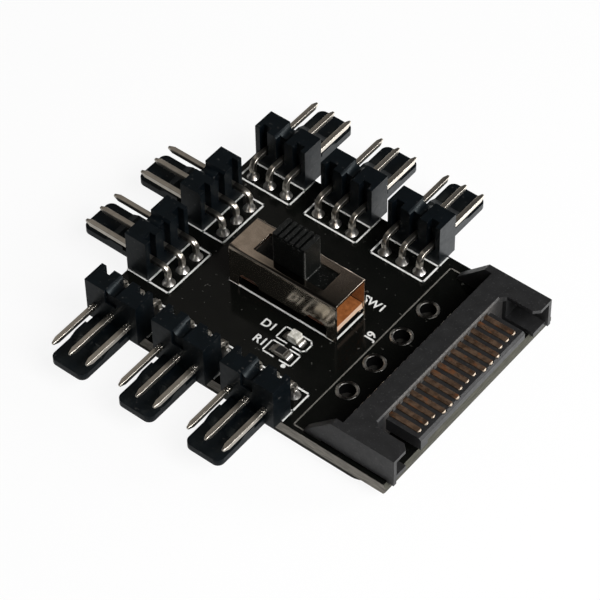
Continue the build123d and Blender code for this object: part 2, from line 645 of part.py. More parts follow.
def chip_solder():
    """Solder wedges at both ends of the two chip parts."""
    wedges = []
    for y, height in ((LED_Y, LED_BASE_HEIGHT), (RESISTOR_Y, RESISTOR_HEIGHT)):
        for side in (-1, 1):
            end = CHIP_X + side * CHIP_LENGTH / 2
            side_view = [(end, BOARD_TOP), (end + side * CHIP_SOLDER_LENGTH, BOARD_TOP), (end, BOARD_TOP + height)]
            wedges.append(profile_xz(side_view, y - CHIP_WIDTH / 2, y + CHIP_WIDTH / 2))
    return Compound(children=wedges)


def nodes():
    """Every piece of the hub by its node name."""
    housing = fan_housing()
    pin = fan_pin()
    pin_joint = solder_joint(PIN_SIZE, PIN_SIZE, FILLET_HEIGHT)
    pieces = {"circuit_board": circuit_board(), "foam_pad": foam_pad()}
    for number, place in enumerate(header_places(), start=1):
        pieces[f"fan_housing_{number}"] = place * housing
        pieces[f"fan_pins_{number}"] = Compound(children=[place * Pos(u, 0, 0) * pin for u in PIN_STEPS])
    pieces["fan_solder"] = Compound(children=[point * cone for point in header_pin_points() for cone in pin_joint])
    pieces["inlet_housing"] = inlet_housing()
    pieces["inlet_blades"] = inlet_blades()
    pieces["inlet_solder"] = inlet_solder()
    pieces["switch_can"] = switch_can()
    pieces["switch_base"] = switch_base()
    pieces["switch_terminals"] = switch_terminals()
    pieces["switch_solder"] = switch_solder()
    pieces["switch_knob"] = switch_knob()
    pieces["switch_wiper"] = switch_wiper()
    pieces["led_base"] = chip_body(LED_Y, LED_BASE_HEIGHT)
    pieces["led_caps"] = chip_caps(LED_Y, LED_BASE_HEIGHT)
    pieces["led_lens"] = led_lens()
    pieces["resistor_body"] = chip_body(RESISTOR_Y, RESISTOR_HEIGHT)
    pieces["resistor_caps"] = chip_caps(RESISTOR_Y, RESISTOR_HEIGHT)
    pieces["chip_solder"] = chip_solder()
    return pieces


os.makedirs("parts", exist_ok=True)
for name, shape in nodes().items():
    export_step(shape, f"parts/{name}.step")
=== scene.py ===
"""Looks of the PC fan hub: materials, print, solder, foam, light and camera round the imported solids."""
import json
import math
import random

import bpy
from mathutils import Matrix, Vector


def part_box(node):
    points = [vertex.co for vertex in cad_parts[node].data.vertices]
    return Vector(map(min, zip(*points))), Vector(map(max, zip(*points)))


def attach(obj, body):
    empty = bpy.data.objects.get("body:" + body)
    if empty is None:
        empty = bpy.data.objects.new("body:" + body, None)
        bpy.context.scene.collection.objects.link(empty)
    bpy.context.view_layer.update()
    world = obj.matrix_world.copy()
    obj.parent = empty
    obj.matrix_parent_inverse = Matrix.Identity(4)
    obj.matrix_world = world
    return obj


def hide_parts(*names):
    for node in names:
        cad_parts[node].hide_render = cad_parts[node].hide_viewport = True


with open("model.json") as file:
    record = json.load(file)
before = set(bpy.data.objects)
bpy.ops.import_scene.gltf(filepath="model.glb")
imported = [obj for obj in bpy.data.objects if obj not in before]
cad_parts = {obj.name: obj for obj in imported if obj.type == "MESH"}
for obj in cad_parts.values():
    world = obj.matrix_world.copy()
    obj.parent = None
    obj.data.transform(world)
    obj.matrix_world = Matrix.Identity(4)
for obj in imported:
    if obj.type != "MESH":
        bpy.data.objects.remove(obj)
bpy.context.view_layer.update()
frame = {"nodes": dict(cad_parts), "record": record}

# Sizes in metres
MM = 0.001
BODY = "board"
HEADER_COUNT = 8
PIN_SIZE = 0.64 * MM
PIN_PITCH = 2.54 * MM
BOARD_THICKNESS = 1.6 * MM

# Silkscreen
INK_THICKNESS = 0.015 * MM
INK_WIDTH = 0.24 * MM
CHIP_INK_WIDTH = 0.19 * MM
FINE_INK_WIDTH = 0.17 * MM
HEADER_FRAME_LENGTH = 7.76 * MM
HEADER_FRAME_BEHIND_PINS = 1.1 * MM
HEADER_FRAME_DEPTH = 3.05 * MM
HEADER_FRAME_EDGE_GAP = 0.3 * MM
SWITCH_FRAME_INSET = 0.08 * MM
SWITCH_FRAME_SHIFT = -0.23 * MM
CHIP_FRAME_LENGTH = 4.08 * MM
CHIP_FRAME_WIDTH = 1.95 * MM
CHIP_FRAME_GAP = 0.95 * MM
CHIP_FRAME_CORNER = 0.42 * MM
INLET_FRAME_BEHIND = 1.5 * MM
INLET_FRAME_INSET = 0.1 * MM
LETTER_HEIGHT = 1.6 * MM
LETTER_WEIGHT = 0.035 * MM
INK_DOT_PLACE = Vector((2.12, -9.26)) * MM
INK_DOT_RADIUS = 0.3 * MM

# Plated rims of the spare holes
SPARE_HOLE_PLACES = [Vector((10.14, y)) * MM for y in (-7.62, -2.54, 2.54, 7.62)]
RIM_OUTER = 1.42 * MM
RIM_INNER = 0.99 * MM
RIM_HEIGHT = 0.12 * MM
BARREL_RADIUS = 1.04 * MM
RIM_SEGMENTS = 40
# Side of each rim that is painted bright as a highlight
RIM_GLINT_SIDE = math.radians(35)

# Solder
FILLET_RADIUS = 0.8 * MM
FILLET_HEIGHT = 0.95 * MM
UNDER_FILLET_HEIGHT = 0.6 * MM
FILLET_SEGMENTS = 28
FILLET_RINGS = 9
CHIP_FILLET_LENGTH = 0.5 * MM
CHIP_FILLET_RISE = 0.8
CHIP_FILLET_SPREAD = 0.95

# Places on the part where a material changes, in millimetres: header fronts from the middle of the
# board, the pins between rear header and bend, the wall behind the blades, and the top of the knob
SIDE_HEADER_FACE = 17.04
REAR_HEADER_FACE = 21.63
REAR_PINS_INSIDE = (-18.7, -16.9)
POCKET_WALL = 17.65
POCKET_WALL_ENDS = (-10.9, 10.6)
KNOB_TOP = 13.8

# Resistor glaze and foam pad
GLAZE_LENGTH = 1.15 * MM
GLAZE_WIDTH = 1.02 * MM
GLAZE_THICKNESS = 0.03 * MM
FOAM_CORNER_RADIUS = 3.0 * MM
FOAM_EDGE = 0.12 * MM

# Glow of the floor and of the room in reflections: a direction toward the bright side of the room,
# then the reach along it from dim to bright and the level at each end
FLOOR_BRIGHT_SIDE = (0.63, 0.77, 0)
FLOOR_GLOW = (-15 * MM, 20 * MM, 0.42, 1.7)
ROOM_BRIGHT_SIDE = (0.85, 0.53, 0)
ROOM_GLOW = (-0.2, 0.6, 0.2, 1.0)
FLOOR_HALF_WIDTH = 3.0
FLOOR_DROP = 0.01 * MM

# Camera solved on the photograph
CAMERA_PLACE = Vector((137.33, -171.25, 257.09)) * MM
CAMERA_AZIMUTH = math.radians(39.286)
CAMERA_ELEVATION = math.radians(48.984)
CAMERA_ROLL = math.radians(-1.12)
CAMERA_LENS = 173.7
CAMERA_SENSOR = 36.0


# Node graph helpers

class Graph:
    """A material's node tree with short ways to add and join nodes."""

    def __init__(self, name):
        self.material = bpy.data.materials.new(name)
        self.material.use_nodes = True
        self.tree = self.material.node_tree
        self.shader = self.tree.nodes["Principled BSDF"]

    def add(self, kind, **values):
        """New node; each value sets an input by its name or a property of the node."""
        node = self.tree.nodes.new(kind)
        for key, value in values.items():
            if key in node.inputs:
                node.inputs[key].default_value = value
            else:
                setattr(node, key, value)
        return node

    def join(self, source, target):
        self.tree.links.new(source, target)

    def set(self, **values):
        """Constant values on the shader's own sockets, with _ for a space in a name."""
        for key, value in values.items():
            self.shader.inputs[key.replace("_", " ")].default_value = value

    def coordinates(self, stretch=(1, 1, 1)):
        """Object coordinates in millimetres, scaled along each axis."""
        place = self.add("ShaderNodeTexCoord")
        scale = self.add("ShaderNodeMapping", Scale=[1 / MM * s for s in stretch])
        self.join(place.outputs["Object"], scale.inputs["Vector"])
        return scale.outputs["Vector"]

    def noise(self, per_mm, detail=3.0, stretch=(1, 1, 1)):
        """Noise with that many features to a millimetre."""
        texture = self.add("ShaderNodeTexNoise", Scale=per_mm, Detail=detail)
        self.join(self.coordinates(stretch), texture.inputs["Vector"])
        return texture.outputs["Fac"]

    def ramp(self, factor, stops):
        """Colour ramp from (position, grey or colour) pairs."""
        node = self.add("ShaderNodeValToRGB")
        elements = node.color_ramp.elements
        while len(elements) < len(stops):
            elements.new(0.5)
        for element, (position, value) in zip(elements, stops):
            colour = value if isinstance(value, tuple) else (value, value, value)
            element.position = position
            element.color = (*colour, 1)
        self.join(factor, node.inputs["Fac"])
        return node.outputs["Color"]

    def blend(self, factor, first, second):
        """Mix of two colour outputs, or of an output and a plain colour, by a factor output."""
        node = self.add("ShaderNodeMix", data_type="RGBA")
        self.join(factor, node.inputs["Factor"])
        self.join(first, node.inputs["A"])
        if isinstance(second, tuple):
            node.inputs["B"].default_value = (*second, 1)
        else:
            self.join(second, node.inputs["B"])
        return node.outputs["Result"]

    def dusted(self, base, dust, per_mm=2.2, start=0.7):
        """Base colour with sparse specks of dust."""
        specks = self.ramp(self.noise(per_mm, 1.0), [(start, 0.0), (start + 0.05, 1.0)])
        return self.blend(specks, base, dust)

    def facing(self, axis, limit):
        """1 where the surface faces along an axis, either way, by more than a limit."""
        shape = self.add("ShaderNodeNewGeometry")
        parts = self.add("ShaderNodeSeparateXYZ")
        self.join(shape.outputs["Normal"], parts.inputs["Vector"])
        size = self.add("ShaderNodeMath", operation="ABSOLUTE")
        self.join(parts.outputs[axis], size.inputs[0])
        test = self.add("ShaderNodeMath", operation="GREATER_THAN")
        test.inputs[1].default_value = limit
        self.join(size.outputs[0], test.inputs[0])
        return test.outputs[0]

    def slope(self, axis, start_mm, end_mm):
        """0 to 1 between two places along an axis of the part."""
        parts = self.add("ShaderNodeSeparateXYZ")
        self.join(self.coordinates(), parts.inputs["Vector"])
        level = self.add("ShaderNodeMapRange")
        level.inputs["From Min"].default_value = start_mm
        level.inputs["From Max"].default_value = end_mm
        self.join(parts.outputs[axis], level.inputs["Value"])
        return level.outputs["Result"]

    def product(self, first, second):
        """One factor output times another."""
        node = self.add("ShaderNodeMath", operation="MULTIPLY")
        self.join(first, node.inputs[0])
        self.join(second, node.inputs[1])
        return node.outputs[0]

    def edges(self, radius_mm):
        """1 along the sharp edges of a piece, within a radius of them."""
        rounded = self.add("ShaderNodeBevel", Radius=radius_mm * MM)
        shape = self.add("ShaderNodeNewGeometry")
        match = self.add("ShaderNodeVectorMath", operation="DOT_PRODUCT")
        self.join(rounded.outputs["Normal"], match.inputs[0])
        self.join(shape.outputs["Normal"], match.inputs[1])
        return self.ramp(match.outputs["Value"], [(0.94, 1.0), (0.99, 0.0)])

    def bump(self, height, depth_mm, where=None):
        """Bump of that depth on the shader's normal, everywhere or by a mask."""
        node = self.add("ShaderNodeBump", Distance=depth_mm * MM)
        self.join(height, node.inputs["Height"])
        if where:
            self.join(where, node.inputs["Strength"])
        self.join(node.outputs["Normal"], self.shader.inputs["Normal"])

    def colour(self, output):
        self.join(output, self.shader.inputs["Base Color"])

    def roughness(self, output):
        self.join(output, self.shader.inputs["Roughness"])


# Materials

def plastic(name, dark, light, rough, grain_per_mm, grain_depth, dust=None, shine=0.5, glint=(1, 1, 1)):
    """Moulded plastic: slight colour and gloss drift, a fine grain and a little dust."""
    graph = Graph(name)
    graph.set(Specular_IOR_Level=shine, Specular_Tint=(*glint, 1))
    drift = graph.ramp(graph.noise(0.7, 2), [(0.3, dark), (0.7, light)])
    graph.colour(graph.dusted(drift, dust) if dust else drift)
    graph.roughness(graph.ramp(graph.noise(1.6, 4), [(0.3, rough[0]), (0.7, rough[1])]))
    graph.bump(graph.noise(grain_per_mm, 3), grain_depth)
    return graph.material


def inlet_material():
    """Black moulding with a fine grain, the wall behind the blades painted pale as light reflected off it.
    """
    graph = Graph("inlet_plastic")
    graph.set(Specular_IOR_Level=0.35)
    drift = graph.ramp(graph.noise(0.7, 2), [(0.3, (0.011, 0.011, 0.0115)), (0.7, (0.0165, 0.0165, 0.017))])
    body = graph.dusted(graph.dusted(drift, (0.03, 0.03, 0.03)), (0.04, 0.04, 0.04), 6.0, 0.67)
    # Painted light: the wall behind the blades, found by place and facing, is coloured pale to stand in for
    # the light it reflects.
    depth = graph.slope("X", POCKET_WALL - 0.5, POCKET_WALL + 0.5)
    behind_blades = graph.ramp(depth, [(0.2, 0.0), (0.25, 1.0), (0.7, 1.0), (0.75, 0.0)])
    width = graph.slope("Y", *POCKET_WALL_ENDS)
    along_blades = graph.ramp(width, [(0.0, 0.0), (0.06, 1.0), (0.93, 1.0), (1.0, 0.3)])
    painted_wall_light = graph.ramp(graph.noise(3.0, 5), [(0.35, (0.04, 0.0375, 0.035)), (0.65, (0.085, 0.08, 0.075))])
    wall = graph.product(graph.product(behind_blades, along_blades), graph.facing("X", 0.6))
    graph.colour(graph.blend(wall, body, painted_wall_light))
    graph.roughness(graph.ramp(graph.noise(1.6, 4), [(0.3, 0.42), (0.7, 0.52)]))
    graph.bump(graph.noise(9.0, 3), 0.003)
    return graph.material


def metal(name, dark, light, rough, streak=(1, 1, 1), grain_per_mm=6.0, grain_depth=0.001):
    """Plated metal with drifting tint and grain drawn out along an axis."""
    graph = Graph(name)
    graph.set(Metallic=1.0)
    drift = graph.noise(0.9, 3)
    graph.colour(graph.ramp(drift, [(0.25, dark), (0.75, light)]))
    grain = graph.noise(grain_per_mm, 4, streak)
    graph.roughness(graph.ramp(grain, [(0.3, rough[0]), (0.7, rough[1])]))
    graph.bump(grain, grain_depth)
    return graph.material


def board_material():
    """Glossy black mask on both faces, bare glass-fibre laminate on every cut edge."""
    graph = Graph("solder_mask_and_laminate")
    graph.set(Specular_IOR_Level=0.2)
    black = [(0.3, (0.0028, 0.0031, 0.0027)), (0.75, (0.0046, 0.0049, 0.0042))]
    mask = graph.dusted(graph.ramp(graph.noise(0.25, 4), black), (0.05, 0.05, 0.045), 1.7, 0.73)
    layers = graph.noise(1.3, 5, (0.5, 0.5, 6.0))
    glass = [(0.3, (0.115, 0.106, 0.093)), (0.5, (0.2, 0.186, 0.163)), (0.7, (0.32, 0.3, 0.265))]
    side = graph.ramp(layers, glass)
    scored = graph.ramp(layers, [(0.3, (0.036, 0.036, 0.028)), (0.7, (0.078, 0.076, 0.061))])
    laminate = graph.blend(graph.facing("X", 0.5), side, scored)
    face = graph.facing("Z", 0.95)
    graph.colour(graph.blend(face, laminate, mask))
    smooth = graph.ramp(graph.noise(0.8, 4), [(0.3, 0.1), (0.7, 0.16)])
    rough = graph.ramp(layers, [(0.3, 0.7), (0.7, 0.9)])
    graph.roughness(graph.blend(face, rough, smooth))
    graph.bump(graph.noise(0.6, 2), 0.004)
    return graph.material


def can_material():
    """Nickel plate on folded sheet: polished top with a painted dark reflection toward its near right end,
    duller walls.
    """
    graph = Graph("can")
    tint = graph.ramp(graph.noise(0.9, 3), [(0.25, (0.56, 0.46, 0.37)), (0.75, (0.76, 0.64, 0.53))])
    # Painted reflection: the top's colour darkens toward its near right end, standing in for the dark room
    # it mirrors there.
    painted_dark_reflection = graph.product(graph.slope("X", -8.5, -4.5), graph.slope("Y", 2.4, -2.2))
    tint = graph.blend(painted_dark_reflection, tint, (0.17, 0.15, 0.125))
    wall = graph.facing("Y", 0.7)
    graph.join(graph.ramp(wall, [(0.0, 1.0), (1.0, 0.95)]), graph.shader.inputs["Metallic"])
    graph.colour(graph.blend(wall, tint, (0.44, 0.385, 0.315)))
    grain = graph.noise(9.0, 4, (0.25, 1.4, 1.4))
    polish = graph.ramp(grain, [(0.3, 0.1), (0.7, 0.17)])
    graph.roughness(graph.blend(wall, polish, (0.17, 0.17, 0.17)))
    graph.bump(grain, 0.0006, graph.ramp(wall, [(0.0, 1.0), (1.0, 0.0)]))
    return graph.material


def pin_material():
    """Tinned brass, scuffed where it leaves a housing, and painted dark as shade between the rear housings
    and their bends.
    """
    graph = Graph("pin")
    graph.set(Metallic=1.0)
    tint = graph.ramp(graph.noise(0.9, 3), [(0.25, (0.6, 0.55, 0.48)), (0.75, (0.76, 0.71, 0.63))])
    # Painted shade: between each rear housing and its bend the pins are coloured dark, for the housing's
    # shade in their reflection.
    depth = graph.slope("X", *REAR_PINS_INSIDE)
    painted_shade_behind_rear = graph.ramp(depth, [(0.0, 0.0), (0.05, 1.0), (0.7, 1.0), (1.0, 0.0)])
    graph.colour(graph.blend(painted_shade_behind_rear, tint, (0.2, 0.185, 0.165)))
    parts = graph.add("ShaderNodeSeparateXYZ")
    graph.join(graph.coordinates(), parts.inputs["Vector"])
    sideways = graph.add("ShaderNodeMath", operation="ABSOLUTE")
    graph.join(parts.outputs["Y"], sideways.inputs[0])
    past_side = graph.add("ShaderNodeMath", operation="SUBTRACT")
    past_side.inputs[1].default_value = SIDE_HEADER_FACE
    graph.join(sideways.outputs[0], past_side.inputs[0])
    past_rear = graph.add("ShaderNodeMath", operation="SUBTRACT")
    past_rear.inputs[0].default_value = -REAR_HEADER_FACE
    graph.join(parts.outputs["X"], past_rear.inputs[1])
    past_face = graph.add("ShaderNodeMath", operation="MAXIMUM")
    graph.join(past_side.outputs[0], past_face.inputs[0])
    graph.join(past_rear.outputs[0], past_face.inputs[1])
    root = graph.ramp(past_face.outputs[0], [(0.0, 0.0), (0.02, 1.0), (0.9, 1.0), (1.0, 0.0)])
    smooth = graph.ramp(graph.noise(0.6, 2), [(0.3, 0.28), (0.7, 0.32)])
    graph.roughness(graph.blend(root, smooth, (0.22, 0.22, 0.22)))
    graph.bump(graph.noise(4, 2), 0.2, root)
    return graph.material


def rim_material():
    """Tinned rim, painted bright on two sides as highlights and dull between them."""
    graph = Graph("rim")
    graph.set(Metallic=1.0)
    side = graph.add("ShaderNodeAttribute", attribute_name="painted_glint")
    tin = graph.noise(3.0, 3)
    dull = graph.ramp(tin, [(0.3, (0.05, 0.048, 0.045)), (0.7, (0.08, 0.077, 0.072))])
    # Painted highlight: the colour toward the glint side of each rim is bright.
    painted_glint = graph.ramp(tin, [(0.3, (0.5, 0.48, 0.45)), (0.7, (0.64, 0.62, 0.58))])
    graph.colour(graph.blend(graph.ramp(side.outputs["Fac"], [(0.45, 0.0), (0.9, 1.0)]), dull, painted_glint))
    graph.roughness(graph.ramp(tin, [(0.3, 0.25), (0.7, 0.33)]))
    return graph.material


def blade_material():
    """Tarnished contact: brown and rust-coloured patches over dull gold, the ends facing along X painted
    pale as highlights.
    """
    graph = Graph("inlet_contact")
    graph.set(Metallic=0.45)
    brown = graph.ramp(graph.noise(1.6, 4), [(0.35, (0.05, 0.029, 0.017)), (0.65, (0.14, 0.088, 0.057))])
    rust = graph.ramp(graph.noise(0.9, 3), [(0.55, 0.0), (0.68, 0.8)])
    tarnish = graph.blend(rust, brown, (0.19, 0.07, 0.025))
    # Painted highlight: faces turned along X, the blade tips, are coloured pale.
    graph.colour(graph.blend(graph.facing("X", 0.5), tarnish, (0.32, 0.26, 0.2)))
    graph.roughness(graph.ramp(graph.noise(4, 4, (0.3, 1, 1)), [(0.3, 0.26), (0.7, 0.4)]))
    graph.bump(graph.noise(7, 3, (0.2, 1, 1)), 0.0015)
    return graph.material


def knob_material():
    """Moulded black with pale specks and pale edges painted as highlights."""
    graph = Graph("knob")
    graph.set(Specular_IOR_Level=0.14)
    black = [(0.3, (0.0018, 0.0022, 0.0019)), (0.7, (0.0032, 0.0037, 0.0033))]
    drift = graph.ramp(graph.noise(0.7, 2), black)
    grain = graph.noise(8.0, 4)
    rib_tops = graph.product(graph.facing("Z", 0.9), graph.slope("Z", KNOB_TOP - 0.2, KNOB_TOP - 0.1))
    paler = graph.ramp(grain, [(0.35, (0.005, 0.0053, 0.005)), (0.65, (0.017, 0.0175, 0.017))])
    ribbed = graph.blend(rib_tops, drift, paler)
    # Painted highlight: patches along the sharp edges below the ribs are coloured pale, for light caught on
    # the edges.
    below_ribs = graph.slope("Z", KNOB_TOP - 0.35, KNOB_TOP - 0.4)
    patches = graph.ramp(grain, [(0.42, 0.05), (0.6, 1.0)])
    painted_edge_highlight = graph.product(graph.edges(0.2), graph.product(below_ribs, patches))
    edges = graph.blend(painted_edge_highlight, ribbed, (0.19, 0.19, 0.18))
    graph.colour(graph.dusted(edges, (0.08, 0.08, 0.076), 7.0, 0.69))
    graph.roughness(graph.ramp(grain, [(0.3, 0.3), (0.7, 0.44)]))
    graph.bump(grain, 0.03)
    return graph.material


def phenolic_material():
    """Orange phenolic laminate with paper fibres; its ends paler, partly the laminate's own cut edge and
    partly painted light, and its sides painted dark as shade.
    """
    graph = Graph("phenolic_laminate")
    fibre = graph.noise(3.0, 5, (1, 1, 5))
    face = graph.ramp(fibre, [(0.3, (0.17, 0.05, 0.012)), (0.7, (0.3, 0.105, 0.03))])
    # Partly painted light: faces turned along X are coloured pale cream, partly the laminate's own cut
    # edge.
    ends = graph.blend(graph.facing("X", 0.7), face, (0.62, 0.44, 0.32))
    # Painted shade: faces turned along Y are coloured dark.
    graph.colour(graph.blend(graph.facing("Y", 0.7), ends, (0.2, 0.08, 0.045)))
    graph.roughness(graph.ramp(fibre, [(0.3, 0.3), (0.7, 0.5)]))
    graph.bump(fibre, 0.004)
    return graph.material


def lens_material():
    """Milky clear resin of the chip LED."""
    graph = Graph("led_resin")
    cloud = graph.noise(2.6, 3)
    graph.colour(graph.ramp(cloud, [(0.35, (0.5, 0.48, 0.41)), (0.6, (0.88, 0.86, 0.79))]))
    graph.set(Transmission_Weight=0.15, IOR=1.5)
    graph.roughness(graph.ramp(cloud, [(0.3, 0.15), (0.7, 0.3)]))
    graph.bump(cloud, 0.01)
    return graph.material


def foam_material():
    """Black closed-cell foam with open pores on the cut sides."""
    graph = Graph("foam_pores")
    pores = graph.add("ShaderNodeTexVoronoi", Scale=6.0)
    graph.join(graph.coordinates(), pores.inputs["Vector"])
    depth = pores.outputs["Distance"]
    graph.colour(graph.ramp(depth, [(0.1, (0.008, 0.0075, 0.006)), (0.6, (0.024, 0.022, 0.018))]))
    graph.roughness(graph.ramp(graph.noise(3), [(0.3, 0.85), (0.7, 0.97)]))
    graph.bump(depth, 0.05)
    return graph.material


def ink_material(name, low, high):
    """Screen-printed ink, a little uneven in cover."""
    graph = Graph(name)
    cover = graph.noise(5.0, 4)
    graph.colour(graph.ramp(cover, [(0.3, low), (0.6, high)]))
    graph.roughness(graph.ramp(cover, [(0.3, 0.4), (0.7, 0.6)]))
    graph.bump(cover, 0.002)
    return graph.material


def make_materials():
    """Every material of the hub by its record slot."""
    dust = (0.03, 0.03, 0.03)
    return {
        "board": board_material(),
        "foam": foam_material(),
        "solder": metal("solder", (0.56, 0.54, 0.51), (0.68, 0.66, 0.63), (0.27, 0.31),
                        grain_per_mm=2.0, grain_depth=0.0001),
        "inlet_plastic": inlet_material(),
        "contact": blade_material(),
        "can": can_material(),
        "phenolic": phenolic_material(),
        "terminal": metal("terminal", (0.6, 0.56, 0.49), (0.78, 0.74, 0.66), (0.2, 0.35)),
        "rim": rim_material(),
        "barrel": plastic("barrel", (0.003, 0.003, 0.003), (0.006, 0.006, 0.006),
                          (0.5, 0.7), 4.0, 0.004, shine=0.1),
        "knob": knob_material(),
        "led_white": plastic("led_white", (0.62, 0.62, 0.58), (0.8, 0.8, 0.76), (0.4, 0.55), 10.0, 0.003),
        "cap": metal("cap", (0.3, 0.275, 0.24), (0.5, 0.48, 0.44), (0.25, 0.36)),
        "lens": lens_material(),
        "resistor": plastic("resistor", (0.14, 0.13, 0.115), (0.24, 0.225, 0.2), (0.35, 0.5), 10.0, 0.003),
        "glaze": plastic("glaze", (0.006, 0.006, 0.006), (0.016, 0.016, 0.016), (0.25, 0.4), 8.0, 0.003),
        "header_plastic": plastic("header_plastic", (0.0007, 0.0017, 0.0027), (0.0014, 0.003, 0.0045),
                                  (0.36, 0.46), 7.0, 0.0015, dust, 0.25, (0.85, 0.96, 1.0)),
        "pin": pin_material(),
        "ink": ink_material("white_ink", (0.6, 0.6, 0.58), (0.8, 0.8, 0.78)),
        "faint_ink": ink_material("faint_ink", (0.1, 0.095, 0.085), (0.19, 0.18, 0.16)),
    }


def dress_nodes(materials):
    """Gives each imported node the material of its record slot."""
    for part in frame["record"]["subparts"]:
        mesh = frame["nodes"][part["node"]].data
        mesh.materials.clear()
        mesh.materials.append(materials[part["material_slot"]])


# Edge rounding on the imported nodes

def soften(node, width_mm):
    """Welds a node's split corners and rounds its sharp edges."""
    piece = frame["nodes"][node]
    weld = piece.modifiers.new("weld", "WELD")
    weld.merge_threshold = 0.0005 * MM
    bevel = piece.modifiers.new("edges", "BEVEL")
    bevel.width = width_mm * MM
    bevel.segments = 2
    bevel.limit_method = "ANGLE"
    bevel.angle_limit = math.radians(40)
    bevel.use_clamp_overlap = True
    bevel.harden_normals = True
    return piece


def soften_nodes():
    """Rounds edges by what each piece is made of."""
    for number in range(1, HEADER_COUNT + 1):
        soften(f"fan_housing_{number}", 0.07)
        pins = soften(f"fan_pins_{number}", 0.06)
        pins.modifiers.new("even_bends", "WEIGHTED_NORMAL")
    soften("inlet_housing", 0.06)
    soften("inlet_blades", 0.06)
    soften("switch_can", 0.05)
    soften("switch_knob", 0.03)
    soften("switch_base", 0.05)
    for node in ("led_base", "led_caps", "led_lens", "resistor_body", "resistor_caps"):
        soften(node, 0.07)


# New pieces

def add_piece(name, vertices, faces, material, smooth=False):
    """Mesh object that rides on the board."""
    mesh = bpy.data.meshes.new(name)
    mesh.from_pydata([tuple(v) for v in vertices], [], faces)
    mesh.materials.append(material)
    if smooth:
        mesh.shade_smooth()
    piece = bpy.data.objects.new(name, mesh)
    bpy.context.scene.collection.objects.link(piece)
    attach(piece, BODY)
    return piece


class Ink:
    """Flat printed strokes gathered into one mesh on a level face."""

    def __init__(self, level, thickness=INK_THICKNESS):
        self.level = level
        self.thickness = thickness
        self.vertices = []
        self.faces = []

    def stroke(self, start, end, width=INK_WIDTH):
        """Straight stroke with square ends that reach half a width past its points."""
        a = Vector(start)
        b = Vector(end)
        along = (b - a).normalized() * width / 2
        across = Vector((-along.y, along.x))
        corners = [a - along - across, b + along - across, b + along + across, a - along + across]
        self.slab(corners)

    def slab(self, corners):
        """Thin plate with that outline."""
        base = len(self.vertices)
        count = len(corners)
        for height in (self.level, self.level + self.thickness):
            self.vertices += [(c[0], c[1], height) for c in corners]
        self.faces.append([base + count + i for i in range(count)])
        self.faces.append([base + i for i in reversed(range(count))])
        for i in range(count):
            j = (i + 1) % count
            self.faces.append([base + i, base + j, base + count + j, base + count + i])

    def path(self, points, width=INK_WIDTH):
        for start, end in zip(points, points[1:]):
            self.stroke(start, end, width)

    def dot(self, centre, radius, sides=16):
        turns = [2 * math.pi * i / sides for i in range(sides)]
        self.slab([(centre[0] + radius * math.cos(t), centre[1] + radius * math.sin(t)) for t in turns])


def header_axes(number):
    """Middle of a header's pin row on the board, its outward direction and its direction along the row."""
    body_low, body_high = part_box(f"fan_housing_{number}")
    pin_low, pin_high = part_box(f"fan_pins_{number}")
    middle = (Vector(body_low) + Vector(body_high)) / 2
    spread = Vector(pin_high) - Vector(pin_low)
    along_y = spread.y > spread.x
    sign = math.copysign(1, middle.y if along_y else middle.x)
    outward = Vector((0, sign)) if along_y else Vector((sign, 0))
    inner = pin_low if sign > 0 else pin_high
    row = inner[1 if along_y else 0] + sign * PIN_SIZE / 2
    centre = Vector((middle.x, row)) if along_y else Vector((row, middle.y))
    return centre, outward, Vector((-outward.y, outward.x))


def board_reach(outward):
    """Distance from the board's middle to its edge in that direction."""
    low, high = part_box("circuit_board")
    return abs(outward.x) * high[0] + abs(outward.y) * high[1]


def print_header_frames(ink):
    """Open box round each header's pins, with a cross line under the body."""
    for number in range(1, HEADER_COUNT + 1):
        centre, outward, along = header_axes(number)
        inner = centre - outward * HEADER_FRAME_BEHIND_PINS
        half = along * HEADER_FRAME_LENGTH / 2
        edge = board_reach(outward) - HEADER_FRAME_EDGE_GAP
        run = outward * (edge - inner.dot(outward))
        ink.path([inner - half + run, inner - half, inner + half, inner + half + run])
        cross = inner + outward * HEADER_FRAME_DEPTH
        ink.path([cross - half, cross + half])


def print_switch_frame(ink):
    """Box round the foot of the switch can."""
    low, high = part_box("switch_can")
    left = low[0] + SWITCH_FRAME_SHIFT
    right = high[0] + SWITCH_FRAME_SHIFT
    near = low[1] + SWITCH_FRAME_INSET
    far = high[1] - SWITCH_FRAME_INSET
    ink.path([(left, near), (right, near), (right, far), (left, far), (left, near)])


def print_chip_frame(ink, centre, cut_end):
    """Two brackets round a chip part, with cut corners at the +X end if asked."""
    x = CHIP_FRAME_LENGTH / 2
    y = CHIP_FRAME_WIDTH / 2
    inner = CHIP_FRAME_GAP / 2
    cut = CHIP_FRAME_CORNER
    left = [(-inner, -y), (-x, -y), (-x, y), (-inner, y)]
    square = [(inner, -y), (x, -y), (x, y), (inner, y)]
    cut_off = [(inner, -y), (x - cut, -y), (x, cut - y), (x, y - cut), (x - cut, y), (inner, y)]
    ink.path([centre + Vector(p) for p in left], CHIP_INK_WIDTH)
    ink.path([centre + Vector(p) for p in (cut_off if cut_end else square)], CHIP_INK_WIDTH)


def print_inlet_frame(ink):
    """Fine line round the rear of the power inlet."""
    low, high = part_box("inlet_housing")
    x = low[0] - INLET_FRAME_BEHIND
    near = low[1] + INLET_FRAME_INSET
    far = high[1] - INLET_FRAME_INSET
    ink.path([(low[0], near), (x, near), (x, far), (low[0], far)], FINE_INK_WIDTH)


def centre_of(node):
    """Middle of a node, seen from above."""
    low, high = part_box(node)
    return Vector(((low[0] + high[0]) / 2, (low[1] + high[1]) / 2))


